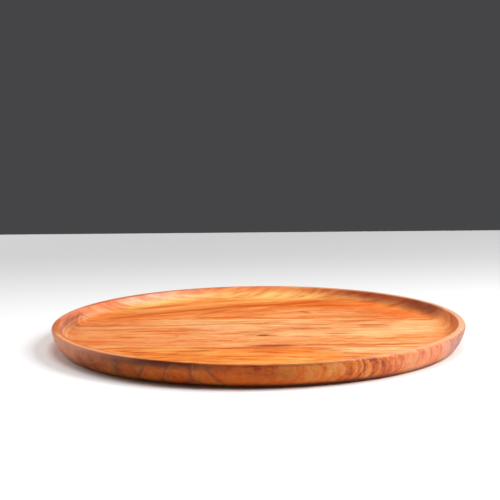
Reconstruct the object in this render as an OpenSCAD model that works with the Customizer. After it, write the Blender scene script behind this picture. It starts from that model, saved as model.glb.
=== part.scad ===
// Turned wooden dinner plate: three boards edge-glued into a panel, then turned to a low dish.
// Millimetres. The origin is the centre of the underside, +X runs along the grain,
// +Y points to the back of the plate and +Z is up.

/* [Plate] */
// Widest diameter, at the lip
plate_d = 280; // [250:1:300]
// Height from the table to the top of the lip
plate_h = 16; // [14:0.5:18]
// Height of the floor's upper face above the table
floor_h = 8.5; // [6.5:0.5:9]

/* [Lip] */
// Width of the lip, from its inner edge to the widest diameter
lip_w = 5; // [4.5:0.5:7]
// Radius of the round along the lip's outer edge
lip_outer_r = 2; // [1:0.1:2.2]
// Radius of the round along the lip's inner edge
lip_inner_r = 1; // [0.5:0.1:1.5]

/* [Wall] */
// Radius of the hollow curve between floor and lip
cove_r = 10; // [9:0.5:14]
// Radius of the outer wall's bulge, seen in section
wall_r = 30; // [28:1:40]
// Height of the centre of that bulge above the table
wall_centre_h = 20; // [17:0.5:22]

/* [Underside] */
// Radius of the round where the wall meets the underside
base_round_r = 6; // [3:0.5:7]
// Radius of the shallow recess that leaves a ring to stand on
recess_r = 104; // [90:1:110]
// Depth of that recess
recess_depth = 1; // [0.5:0.1:1.5]
// Width of the slope at the recess's edge
recess_slope = 3; // [1:0.5:5]

/* [Boards] */
// Distance of the back glue line behind the centre
back_seam = 42; // [35:1:50]
// Distance of the front glue line in front of the centre
front_seam = 56; // [45:1:65]
// Thickness of the film of glue in each joint
glue_t = 0.2; // [0.1:0.05:0.3]

/* [Knot] */
// Length of the pin knot, along the grain
knot_l = 11; // [8:0.5:14]
// Width of the knot, across the grain
knot_w = 6; // [4:0.5:8]
// Depth of the knot below the floor's upper face
knot_depth = 4; // [2:0.5:4]
// Place of the knot along the grain, from the centre
knot_x = 3; // [-20:1:20]
// Place of the knot across the grain, from the centre
knot_y = -15.5; // [-25:0.5:5]

/* [Hidden] */

// Facets of a full turn and of a section's arcs
$fn = 180;
// How far cutting shapes reach past what they cut
spare = 1;

// Centres of the section's arcs, as [radius from the plate's axis, height]. Each round touches
// its neighbour without a corner, so its centre lies on the line through the neighbour's centre.
lip_c = [plate_d / 2 - lip_outer_r, plate_h - lip_outer_r];
wall_c = [
    lip_c.x - sqrt(pow(wall_r - lip_outer_r, 2) - pow(lip_c.y - wall_centre_h, 2)),
    wall_centre_h
];
base_c = [
    wall_c.x + sqrt(pow(wall_r - base_round_r, 2) - pow(base_round_r - wall_c.y, 2)),
    base_round_r
];
inner_c = [plate_d / 2 - lip_w + lip_inner_r, plate_h - lip_inner_r];
cove_c = [
    inner_c.x - sqrt(pow(cove_r + lip_inner_r, 2) - pow(inner_c.y - floor_h - cove_r, 2)),
    floor_h + cove_r
];

// Directions, seen from an arc's centre, in which the arcs meet
base_to_wall = bearing(wall_c, base_c);
wall_to_lip = bearing(wall_c, lip_c);
inner_to_cove = bearing(inner_c, cove_c);
cove_to_inner = bearing(cove_c, inner_c);

// Radius of the two arcs that bound the knot's lens-shaped outline
knot_arc_r = (pow(knot_l, 2) + pow(knot_w, 2)) / (4 * knot_w);

function bearing(from, to) = atan2(to.y - from.y, to.x - from.x);
function at(centre, radius, angle) = centre + radius * [cos(angle), sin(angle)];

// The part of a disc between an arc and its chord
module arc_cap(centre, radius, start, end) {
    reach = 2 * radius;
    middle = (start + end) / 2;
    intersection() {
        translate(centre)
            circle(r = radius);
        polygon([
            at(centre, radius, start),
            at(centre, reach, start),
            at(centre, reach, middle),
            at(centre, reach, end),
            at(centre, radius, end)
        ]);
    }
}

// Half of the plate's section: a chord for each arc, then the arcs' caps added or taken away
module section() {
    difference() {
        union() {
            polygon([
                [0, recess_depth],
                [recess_r - recess_slope, recess_depth],
                [recess_r, 0],
                at(base_c, base_round_r, -90),
                at(base_c, base_round_r, base_to_wall),
                at(lip_c, lip_outer_r, wall_to_lip),
                at(lip_c, lip_outer_r, 90),
                at(inner_c, lip_inner_r, 90),
                at(inner_c, lip_inner_r, inner_to_cove),
                at(cove_c, cove_r, -90),
                [0, floor_h]
            ]);
            arc_cap(base_c, base_round_r, -90, base_to_wall);
            arc_cap(wall_c, wall_r, base_to_wall, wall_to_lip);
            arc_cap(lip_c, lip_outer_r, wall_to_lip, 90);
            arc_cap(inner_c, lip_inner_r, 90, inner_to_cove);
        }
        arc_cap(cove_c, cove_r, -90, cove_to_inner);
    }
}

// The part of the turned plate between two lines across the grain
module plate_between(y_front, y_back) {
    intersection() {
        rotate_extrude()
            section();
        translate([-plate_d, y_front, -spare])
            cube([2 * plate_d, y_back - y_front, plate_h + 2 * spare]);
    }
}

// The knot's upright plug, with its top a given height above the floor's upper face
module knot_plug(above) {
    translate([knot_x, knot_y, floor_h - knot_depth])
        intersection_for(side = [-1, 1])
            translate([0, side * (knot_arc_r - knot_w / 2), 0])
                cylinder(r = knot_arc_r, h = knot_depth + above);
}

// Board nearest the front edge
module front_board() {
    color("#DC8A45")
        plate_between(-plate_d, -front_seam - glue_t / 2);
}

// Board through the centre, with the knot's socket
module middle_board() {
    color("#E39258")
        difference() {
            plate_between(-front_seam + glue_t / 2, back_seam - glue_t / 2);
            knot_plug(spare);
        }
}

// Board at the back edge
module back_board() {
    color("#D98040")
        plate_between(back_seam + glue_t / 2, plate_d);
}

// Film of glue between front and middle boards
module front_glue_line() {
    color("#8A4B22")
        plate_between(-front_seam - glue_t / 2, -front_seam + glue_t / 2);
}

// Film of glue between middle and back boards
module back_glue_line() {
    color("#8A4B22")
        plate_between(back_seam - glue_t / 2, back_seam + glue_t / 2);
}

// Dead knot, flush with the floor
module pin_knot() {
    color("#5A3018")
        knot_plug(0);
}

front_board();
middle_board();
back_board();
front_glue_line();
back_glue_line();
pin_knot();
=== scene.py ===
"""Looks of a turned wooden dinner plate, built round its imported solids.

Lengths are metres in the solids' frame: the origin is the centre of the underside, +X runs along
the grain, +Y points to the back of the plate and +Z is up. Wood patterns are worked out in
millimetres, because a grain's sizes are easier to read that way.
"""

import logging
import math
from abc import ABC, abstractmethod
from dataclasses import dataclass
from enum import Enum
from typing import Mapping, Optional, Sequence, Union

import bmesh
import bpy
import numpy as np
from mathutils import Matrix, Vector


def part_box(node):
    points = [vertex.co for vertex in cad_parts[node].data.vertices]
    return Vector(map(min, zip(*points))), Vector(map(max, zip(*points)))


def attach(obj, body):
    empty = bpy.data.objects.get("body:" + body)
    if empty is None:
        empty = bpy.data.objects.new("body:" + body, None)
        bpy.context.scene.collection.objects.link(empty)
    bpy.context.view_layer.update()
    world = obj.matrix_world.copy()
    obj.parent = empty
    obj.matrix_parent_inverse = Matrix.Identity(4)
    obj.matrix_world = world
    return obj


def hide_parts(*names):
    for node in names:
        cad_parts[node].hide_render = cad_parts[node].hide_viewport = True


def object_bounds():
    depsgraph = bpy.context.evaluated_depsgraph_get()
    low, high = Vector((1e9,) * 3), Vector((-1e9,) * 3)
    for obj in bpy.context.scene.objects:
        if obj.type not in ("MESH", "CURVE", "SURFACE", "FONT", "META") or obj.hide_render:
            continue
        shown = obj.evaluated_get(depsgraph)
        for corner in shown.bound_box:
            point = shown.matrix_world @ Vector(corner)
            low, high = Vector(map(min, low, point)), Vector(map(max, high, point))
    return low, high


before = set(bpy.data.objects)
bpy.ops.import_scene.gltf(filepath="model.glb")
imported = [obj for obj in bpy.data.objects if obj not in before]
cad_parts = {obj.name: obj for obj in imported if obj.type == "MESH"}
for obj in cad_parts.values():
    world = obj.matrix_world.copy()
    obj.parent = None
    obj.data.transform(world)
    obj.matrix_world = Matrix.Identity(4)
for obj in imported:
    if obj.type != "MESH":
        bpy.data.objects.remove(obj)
CAD_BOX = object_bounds()

MM = 0.001
BODY = "root"
log = logging.getLogger("dinner_plate")

Pair = tuple[float, float]
Triple = tuple[float, float, float]
Colour = tuple[float, float, float]


# Shape

def bearing(start: Pair, end: Pair) -> float:
    """Direction from one point to another, in radians."""
    return math.atan2(end[1] - start[1], end[0] - start[0])


def eased(share: np.ndarray) -> np.ndarray:
    """A smooth step from 0 to 1: the share's square times 3 less twice the share."""
    return share ** 2 * (3.0 - 2.0 * share)


def arc(centre: Pair, radius: float, start: float, end: float, count: int) -> np.ndarray:
    """Points on a circle: the centre plus the radius times cosine and sine of even angles.

    Args:
        centre: the circle's centre, as distance from the plate's axis and height.
        radius: the circle's radius.
        start: first angle, in radians.
        end: last angle, in radians.
        count: how many points.

    Returns:
        The points, one row each.
    """
    angle = np.linspace(start, end, count)
    return np.column_stack((centre[0] + radius * np.cos(angle), centre[1] + radius * np.sin(angle)))


def crowded(low: float, high: float, count: int, at: float, reach: float, crowd: float) -> np.ndarray:
    """Places between two ends that stand closer together round one spot.

    The density is 1 plus crowd times a bell curve of width reach about the spot, and the places
    are even steps of the density's running sum, which is taken at 40 finer steps per place.

    Args:
        low: first place.
        high: last place.
        count: how many places.
        at: the spot to crowd round.
        reach: width of the bell curve.
        crowd: how many times denser the middle of the bell is.

    Returns:
        The places in rising order.
    """
    finer_steps = 40
    fine = np.linspace(low, high, finer_steps * count)
    density = 1.0 + crowd * np.exp(-(((fine - at) / reach) ** 2))
    share = np.cumsum(density) - density[0]
    return np.interp(np.linspace(0.0, share[-1], count), share, fine)


@dataclass(frozen=True)
class Section:
    """Half of the plate's section: arcs that run into each other without a corner.

    A point of the section is its distance from the plate's axis and its height.
    """

    radius: float
    height: float
    floor_h: float
    lip_w: float = 5.0 * MM
    lip_outer_r: float = 2.0 * MM
    lip_inner_r: float = 1.0 * MM
    cove_r: float = 10.0 * MM
    wall_r: float = 30.0 * MM
    wall_centre_h: float = 20.0 * MM
    base_round_r: float = 6.0 * MM
    recess_r: float = 104.0 * MM
    recess_depth: float = 1.0 * MM
    recess_slope: float = 3.0 * MM
    cove_points: int = 22
    lip_inner_points: int = 9
    lip_flat_points: int = 6
    lip_outer_points: int = 14
    lip_under_points: int = 3
    wall_points: int = 20
    base_points: int = 9
    slope_points: int = 6

    @property
    def lip_c(self) -> Pair:
        """Centre of the round along the lip's outer edge."""
        return self.radius - self.lip_outer_r, self.height - self.lip_outer_r

    @property
    def wall_c(self) -> Pair:
        """Centre of the outer wall's bulge, which touches the lip's round from outside.

        Returns:
            The centre, level with the height that is given for it.
        """
        rise = self.lip_c[1] - self.wall_centre_h
        run = math.sqrt((self.wall_r - self.lip_outer_r) ** 2 - rise ** 2)
        return self.lip_c[0] - run, self.wall_centre_h

    @property
    def base_c(self) -> Pair:
        """Centre of the round between wall and underside, which touches the wall from inside.

        Returns:
            The centre, its own radius above the table.
        """
        rise = self.base_round_r - self.wall_centre_h
        run = math.sqrt((self.wall_r - self.base_round_r) ** 2 - rise ** 2)
        return self.wall_c[0] + run, self.base_round_r

    @property
    def inner_c(self) -> Pair:
        """Centre of the round along the lip's inner edge."""
        return self.radius - self.lip_w + self.lip_inner_r, self.height - self.lip_inner_r

    @property
    def cove_c(self) -> Pair:
        """Centre of the hollow curve between floor and lip, which touches the lip's inner round.

        Returns:
            The centre, the curve's radius above the floor.
        """
        rise = self.inner_c[1] - self.floor_h - self.cove_r
        run = math.sqrt((self.cove_r + self.lip_inner_r) ** 2 - rise ** 2)
        return self.inner_c[0] - run, self.floor_h + self.cove_r

    @property
    def recess_floor_r(self) -> float:
        """Radius where the recess under the plate becomes flat."""
        return self.recess_r - self.recess_slope

    def upper_rim(self) -> np.ndarray:
        """Section from the floor's edge up the cove and over the lip to the widest point.

        Returns:
            The points, one row each.
        """
        level, top = 0.0, math.pi / 2.0
        cove_to_inner = bearing(self.cove_c, self.inner_c)
        inner_to_cove = bearing(self.inner_c, self.cove_c)
        cove = arc(self.cove_c, self.cove_r, -top, cove_to_inner, self.cove_points)
        inner = arc(self.inner_c, self.lip_inner_r, inner_to_cove, top, self.lip_inner_points)
        flat = np.linspace(inner[-1], (self.lip_c[0], self.height), self.lip_flat_points)
        outer = arc(self.lip_c, self.lip_outer_r, top, level, self.lip_outer_points)
        return np.vstack((cove, inner[1:], flat[1:-1], outer))

    def lower_rim(self) -> np.ndarray:
        """Section from the widest point down the wall and under the plate to the flat recess.

        It has as many points as the upper rim, and each lies far enough out for a straight line
        from the upper rim's own point to stay inside the wood: along the ring to stand on, the
        distance from its outer edge grows with the square of the point's number.

        Returns:
            The points, one row each.
        """
        level, bottom = 0.0, -math.pi / 2.0
        wall_to_lip = bearing(self.wall_c, self.lip_c)
        base_to_wall = bearing(self.wall_c, self.base_c)
        lip = arc(self.lip_c, self.lip_outer_r, level, wall_to_lip, self.lip_under_points)
        wall = arc(self.wall_c, self.wall_r, wall_to_lip, base_to_wall, self.wall_points)
        base = arc(self.base_c, self.base_round_r, base_to_wall, bottom, self.base_points)
        share = np.linspace(0.0, 1.0, self.slope_points)
        slope = np.column_stack((
            self.recess_r - self.recess_slope * share, self.recess_depth * eased(share)
        ))
        taken = len(lip) + len(wall[1:]) + len(base[1:]) + len(slope)
        left = len(self.upper_rim()) - taken
        inward = np.linspace(0.0, 1.0, left + 2)[1:-1, None] ** 2
        ring = base[-1] + (slope[0] - base[-1]) * inward
        return np.vstack((lip, wall[1:], base[1:], ring, slope))


@dataclass(frozen=True)
class HandTurned:
    """Small departures from a true turned form, shared by all pieces so that joints stay closed."""

    section: Section
    cup: float = 0.25 * MM
    lip_wave: float = 0.10 * MM
    lip_waves: int = 3
    lip_wave_start: float = 0.7
    tool_ring: float = 0.05 * MM
    tool_pitch: float = 5.0 * MM
    recess_reach: float = 1.5

    def shaped(self, points: np.ndarray) -> np.ndarray:
        """Moves points up or down by three small waves.

        The boards cup: height grows with the square of the distance across the grain. The lip
        rises and falls in slow waves round the plate, which fade with the square of the height.
        The underside's recess keeps faint rings from the turning tool, a sine of the distance
        from the axis. A point belongs to the recess up to the reach times the recess's depth.

        Args:
            points: places on the true form, in the last axis.

        Returns:
            The moved places.
        """
        moved = points.copy()
        x, y, z = points[..., 0], points[..., 1], points[..., 2]
        span = np.hypot(x, y)
        around = np.arctan2(y, x)
        up = np.clip(z / self.section.height, 0.0, 1.0)
        moved[..., 2] += self.cup * (y / self.section.radius) ** 2
        waves = (np.sin(self.lip_waves * around + self.lip_wave_start) - 1.0) / 2.0
        moved[..., 2] += self.lip_wave * up ** 2 * waves
        low = z < self.recess_reach * self.section.recess_depth
        recess = low & (span < self.section.recess_floor_r)
        rings = np.sin(2.0 * np.pi * span / self.tool_pitch) - 1.0
        moved[..., 2] += np.where(recess, self.tool_ring * rings, 0.0)
        return moved


class Shell:
    """Grids of points that are welded into one closed mesh."""

    WELD = 1e-7
    SHARP_EDGE = math.radians(40.0)

    def __init__(self) -> None:
        """Starts with no grid."""
        self.points: list[np.ndarray] = []
        self.quads: list[np.ndarray] = []
        self.count = 0

    def add(self, grid: np.ndarray) -> None:
        """Adds a grid of points with a quad between each four neighbours.

        Args:
            grid: points by row and column.
        """
        rows, columns = grid.shape[:2]
        index = np.arange(rows * columns).reshape(rows, columns) + self.count
        corners = (index[:-1, :-1], index[1:, :-1], index[1:, 1:], index[:-1, 1:])
        self.quads.append(np.stack(corners, axis=-1).reshape(-1, 4))
        self.points.append(grid.reshape(-1, 3))
        self.count += rows * columns

    def mesh(self, name: str) -> bpy.types.Mesh:
        """Welds the grids and turns every face outwards.

        Args:
            name: the mesh's name.

        Returns:
            A closed mesh. A quad with a repeated corner becomes a triangle.
        """
        points = np.vstack(self.points)
        _, first, where = np.unique(
            np.round(points / self.WELD).astype(np.int64), axis=0, return_index=True, return_inverse=True
        )
        quads = where.reshape(-1)[np.vstack(self.quads)]
        kept = quads != np.roll(quads, 1, axis=1)
        whole = kept.sum(axis=1) >= 3
        sides = kept[whole].sum(axis=1)
        loops = quads[whole][kept[whole]]
        starts = np.concatenate(([0], np.cumsum(sides)[:-1]))
        made = bpy.data.meshes.new(name)
        made.vertices.add(len(first))
        made.vertices.foreach_set("co", points[first].astype(np.float32).ravel())
        made.loops.add(len(loops))
        made.loops.foreach_set("vertex_index", loops.astype(np.int32))
        made.polygons.add(len(sides))
        made.polygons.foreach_set("loop_start", starts.astype(np.int32))
        made.update(calc_edges=True)
        made.validate()
        work = bmesh.new()
        work.from_mesh(made)
        bmesh.ops.recalc_face_normals(work, faces=work.faces)
        work.to_mesh(made)
        work.free()
        made.shade_smooth()
        made.set_sharp_from_angle(angle=self.SHARP_EDGE)
        return made


# Shader graphs

class SocketKind(Enum):
    """Kinds of socket on a shader node group."""

    VALUE = "NodeSocketFloat"
    VECTOR = "NodeSocketVector"


class Wire:
    """A node's output, with arithmetic that adds Math nodes, so that node formulas read as formulas."""

    def __init__(self, graph: "Graph", socket: bpy.types.NodeSocket) -> None:
        """Keeps the output and the graph that it belongs to."""
        self.graph = graph
        self.socket = socket

    def __add__(self, other: "Feed") -> "Wire":
        """Sum."""
        return self.graph.math("ADD", self, other)

    def __sub__(self, other: "Feed") -> "Wire":
        """Difference."""
        return self.graph.math("SUBTRACT", self, other)

    def __rsub__(self, other: "Feed") -> "Wire":
        """Difference from a number."""
        return self.graph.math("SUBTRACT", other, self)

    def __mul__(self, other: "Feed") -> "Wire":
        """Product."""
        return self.graph.math("MULTIPLY", self, other)

    def __truediv__(self, other: "Feed") -> "Wire":
        """Quotient."""
        return self.graph.math("DIVIDE", self, other)

    __radd__ = __add__
    __rmul__ = __mul__


Feed = Union[Wire, float, Sequence[float]]
Feeds = Mapping[Union[str, int], Feed]
Stops = Sequence[tuple[float, Union[float, Colour]]]


class Graph:
    """Writes nodes and links into one node tree."""

    def __init__(self, tree: bpy.types.NodeTree) -> None:
        """Keeps the tree that is written to."""
        self.tree = tree

    def node(self, kind: str, feeds: Optional[Feeds] = None, **settings: object) -> bpy.types.Node:
        """Adds a node.

        Args:
            kind: the node's class name.
            feeds: what goes into its inputs, by socket name or number.
            settings: the node's own properties.

        Returns:
            The node.
        """
        made = self.tree.nodes.new(kind)
        for name, value in settings.items():
            setattr(made, name, value)
        for name, value in (feeds or {}).items():
            self.feed(made.inputs[name], value)
        return made

    def wire(self, kind: str, feeds: Optional[Feeds] = None, **settings: object) -> Wire:
        """Adds a node and gives its first output."""
        return Wire(self, self.node(kind, feeds, **settings).outputs[0])

    def output(self, kind: str, name: str) -> Wire:
        """Adds a node that takes nothing and gives its named output."""
        return Wire(self, self.node(kind).outputs[name])

    def feed(self, socket: bpy.types.NodeSocket, value: Feed) -> None:
        """Links a wire to an input, or sets a plain value on it.

        Args:
            socket: the input.
            value: a wire, a number, a vector or a colour.
        """
        if isinstance(value, Wire):
            self.tree.links.new(value.socket, socket)
        elif socket.type == "RGBA":
            socket.default_value = (*value, 1.0)
        else:
            socket.default_value = value

    def math(self, operation: str, *values: Feed) -> Wire:
        """Adds a Math node.

        Args:
            operation: the node's operation.
            values: one or two values that it works on.

        Returns:
            The result.
        """
        made = self.node("ShaderNodeMath", operation=operation)
        for socket, value in zip(made.inputs, values):
            self.feed(socket, value)
        return Wire(self, made.outputs[0])

    def vector(self, x: Feed, y: Feed, z: Feed) -> Wire:
        """Joins three values to a vector."""
        return self.wire("ShaderNodeCombineXYZ", {"X": x, "Y": y, "Z": z})

    def sum(self, first: Wire, second: Wire) -> Wire:
        """Adds two vectors."""
        return self.wire("ShaderNodeVectorMath", {0: first, 1: second}, operation="ADD")

    def parts(self, vector: Wire) -> tuple[Wire, Wire, Wire]:
        """Splits a vector into its three values."""
        made = self.node("ShaderNodeSeparateXYZ", {"Vector": vector})
        return Wire(self, made.outputs[0]), Wire(self, made.outputs[1]), Wire(self, made.outputs[2])

    def stretched(self, vector: Wire, cell: Triple, shift: Triple = (0.0, 0.0, 0.0)) -> Wire:
        """Divides a position by a cell's three sizes and shifts it."""
        feeds = {0: vector, 1: [1.0 / size for size in cell], 2: shift}
        return self.wire("ShaderNodeVectorMath", feeds, operation="MULTIPLY_ADD")

    def noise(self, vector: Wire, detail: float, roughness: float = 0.5) -> Wire:
        """Smooth noise from 0 to 1, about one bump per unit."""
        feeds = {"Vector": vector, "Scale": 1.0, "Detail": detail, "Roughness": roughness}
        return self.wire("ShaderNodeTexNoise", feeds)

    def noise_along(self, value: Wire) -> Wire:
        """Smooth noise from 0 to 1 along one value."""
        feeds = {"W": value, "Scale": 1.0, "Detail": 1.0}
        return self.wire("ShaderNodeTexNoise", feeds, noise_dimensions="1D")

    def chance(self, value: Wire) -> Wire:
        """A fixed chance value from 0 to 1 for each whole number."""
        return self.wire("ShaderNodeTexWhiteNoise", {"W": value}, noise_dimensions="1D")

    def smooth(self, value: Feed, low: float, high: float) -> Wire:
        """0 below low, 1 above high, and a smooth step between; the other way round if low is greater."""
        feeds = {"Value": value, "From Min": low, "From Max": high}
        return self.wire("ShaderNodeMapRange", feeds, interpolation_type="SMOOTHSTEP")

    def bell(self, share: Wire) -> Wire:
        """A bell curve: the exponential of the share's square, taken negative."""
        return self.math("EXPONENT", share * share * -1.0)

    def ramp(self, value: Wire, stops: Stops) -> Wire:
        """Colour, or grey level, between stops.

        Args:
            value: place along the ramp, 0 to 1.
            stops: places with their colour or level, in rising order.

        Returns:
            The ramp's colour.
        """
        made = self.node("ShaderNodeValToRGB", {"Fac": value})
        points = made.color_ramp.elements
        while len(points) < len(stops):
            points.new(1.0)
        for point, (place, tone) in zip(points, stops):
            point.position = place
            point.color = (*tone, 1.0) if isinstance(tone, tuple) else (tone, tone, tone, 1.0)
        return Wire(self, made.outputs[0])

    def mix(self, share: Feed, first: Feed, second: Feed, blend: str = "MIX") -> Wire:
        """Mixes two colours.

        Args:
            share: how much of the second colour there is, 0 to 1.
            first: the colour below.
            second: the colour above.
            blend: the node's kind of blend.

        Returns:
            The mixed colour.
        """
        made = self.node("ShaderNodeMix", data_type="RGBA", blend_type=blend)
        for name, value in (("Factor_Float", share), ("A_Color", first), ("B_Color", second)):
            self.feed(next(socket for socket in made.inputs if socket.identifier == name), value)
        return Wire(self, next(socket for socket in made.outputs if socket.identifier == "Result_Color"))

    def times(self, first: Feed, second: Feed) -> Wire:
        """Product of two colours."""
        return self.mix(1.0, first, second, "MULTIPLY")

    def place(self, group: bpy.types.NodeTree, feeds: Feeds) -> dict[str, Wire]:
        """Places a node group.

        Args:
            group: the group's tree.
            feeds: what goes into its sockets, by name.

        Returns:
            The group's outputs, by name.
        """
        made = self.node("ShaderNodeGroup", node_tree=group)
        for name, value in feeds.items():
            self.feed(made.inputs[name], value)
        return {socket.name: Wire(self, socket) for socket in made.outputs}


class GroupGraph(Graph):
    """A shader node group with named sockets."""

    def __init__(self, name: str, takes: Mapping[str, SocketKind], gives: Mapping[str, SocketKind]) -> None:
        """Makes the group and its sockets.

        Args:
            name: the group's name.
            takes: sockets that take something in.
            gives: sockets that give something out.
        """
        super().__init__(bpy.data.node_groups.new(name, "ShaderNodeTree"))
        for side, sockets in (("INPUT", takes), ("OUTPUT", gives)):
            for label, kind in sockets.items():
                self.tree.interface.new_socket(label, in_out=side, socket_type=kind.value)
        self.inward = self.tree.nodes.new("NodeGroupInput")
        self.outward = self.tree.nodes.new("NodeGroupOutput")

    def taken(self, label: str) -> Wire:
        """What comes in at a socket."""
        return Wire(self, self.inward.outputs[label])

    def give(self, label: str, value: Wire) -> None:
        """Sends a value out at a socket."""
        self.feed(self.outward.inputs[label], value)


def blank_material(name: str) -> tuple[bpy.types.Material, Graph]:
    """Makes a material with an empty node tree.

    Args:
        name: the material's name.

    Returns:
        The material and the graph that writes into it.
    """
    made = bpy.data.materials.new(name)
    made.use_nodes = True
    made.node_tree.nodes.clear()
    return made, Graph(made.node_tree)


@dataclass(frozen=True)
class FibreNoise:
    """Noise in cells drawn out along the grain, in millimetres.

    Noise with levels is sharpened by a smooth step between them. Noise with a line is turned into
    lines of that half width, where it passes its middle value. Noise that bends follows the rings.
    """

    cell: Triple
    shift: Triple
    detail: float
    roughness: float = 0.5
    levels: Optional[Pair] = None
    line: Optional[float] = None
    bends: bool = False


class Fibre(Enum):
    """Streaks, lines, fibres, pores, end-grain streaks and mottle of the wood, each from 0 to 1."""

    BROAD = FibreNoise((95.0, 15.0, 15.0), (0.0, 0.0, 0.0), 2.0, levels=(0.28, 0.72), bends=True)
    NARROW = FibreNoise((48.0, 5.0, 5.0), (5.0, 1.0, 2.0), 3.0, 0.6, levels=(0.3, 0.7), bends=True)
    THREADS = FibreNoise((14.0, 2.8, 2.8), (1.0, 4.0, 9.0), 2.0, 0.6, levels=(0.3, 0.7), bends=True)
    WARM = FibreNoise((110.0, 8.0, 8.0), (3.0, 9.0, 1.0), 3.0, 0.6, levels=(0.35, 0.68), bends=True)
    LINES = FibreNoise((130.0, 10.0, 10.0), (8.0, 6.0, 3.0), 2.0, 0.55, line=0.03, bends=True)
    FLECKS = FibreNoise((7.0, 2.4, 2.4), (4.0, 7.0, 5.0), 1.0)
    DASHES = FibreNoise((7.0, 0.8, 0.8), (3.0, 5.0, 8.0), 2.0)
    ENDS = FibreNoise((1.5, 6.0, 7.0), (7.0, 3.0, 2.0), 2.0, 0.6)
    FINE = FibreNoise((18.0, 0.55, 0.55), (2.0, 8.0, 4.0), 2.0, 0.6)
    PORES = FibreNoise((4.5, 0.32, 0.32), (9.0, 4.0, 6.0), 1.0, levels=(0.64, 0.74))
    MOTTLE = FibreNoise((8.0, 8.0, 4.5), (6.0, 2.0, 7.0), 3.0, 0.6)


FibreWires = Mapping[Fibre, Wire]


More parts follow.
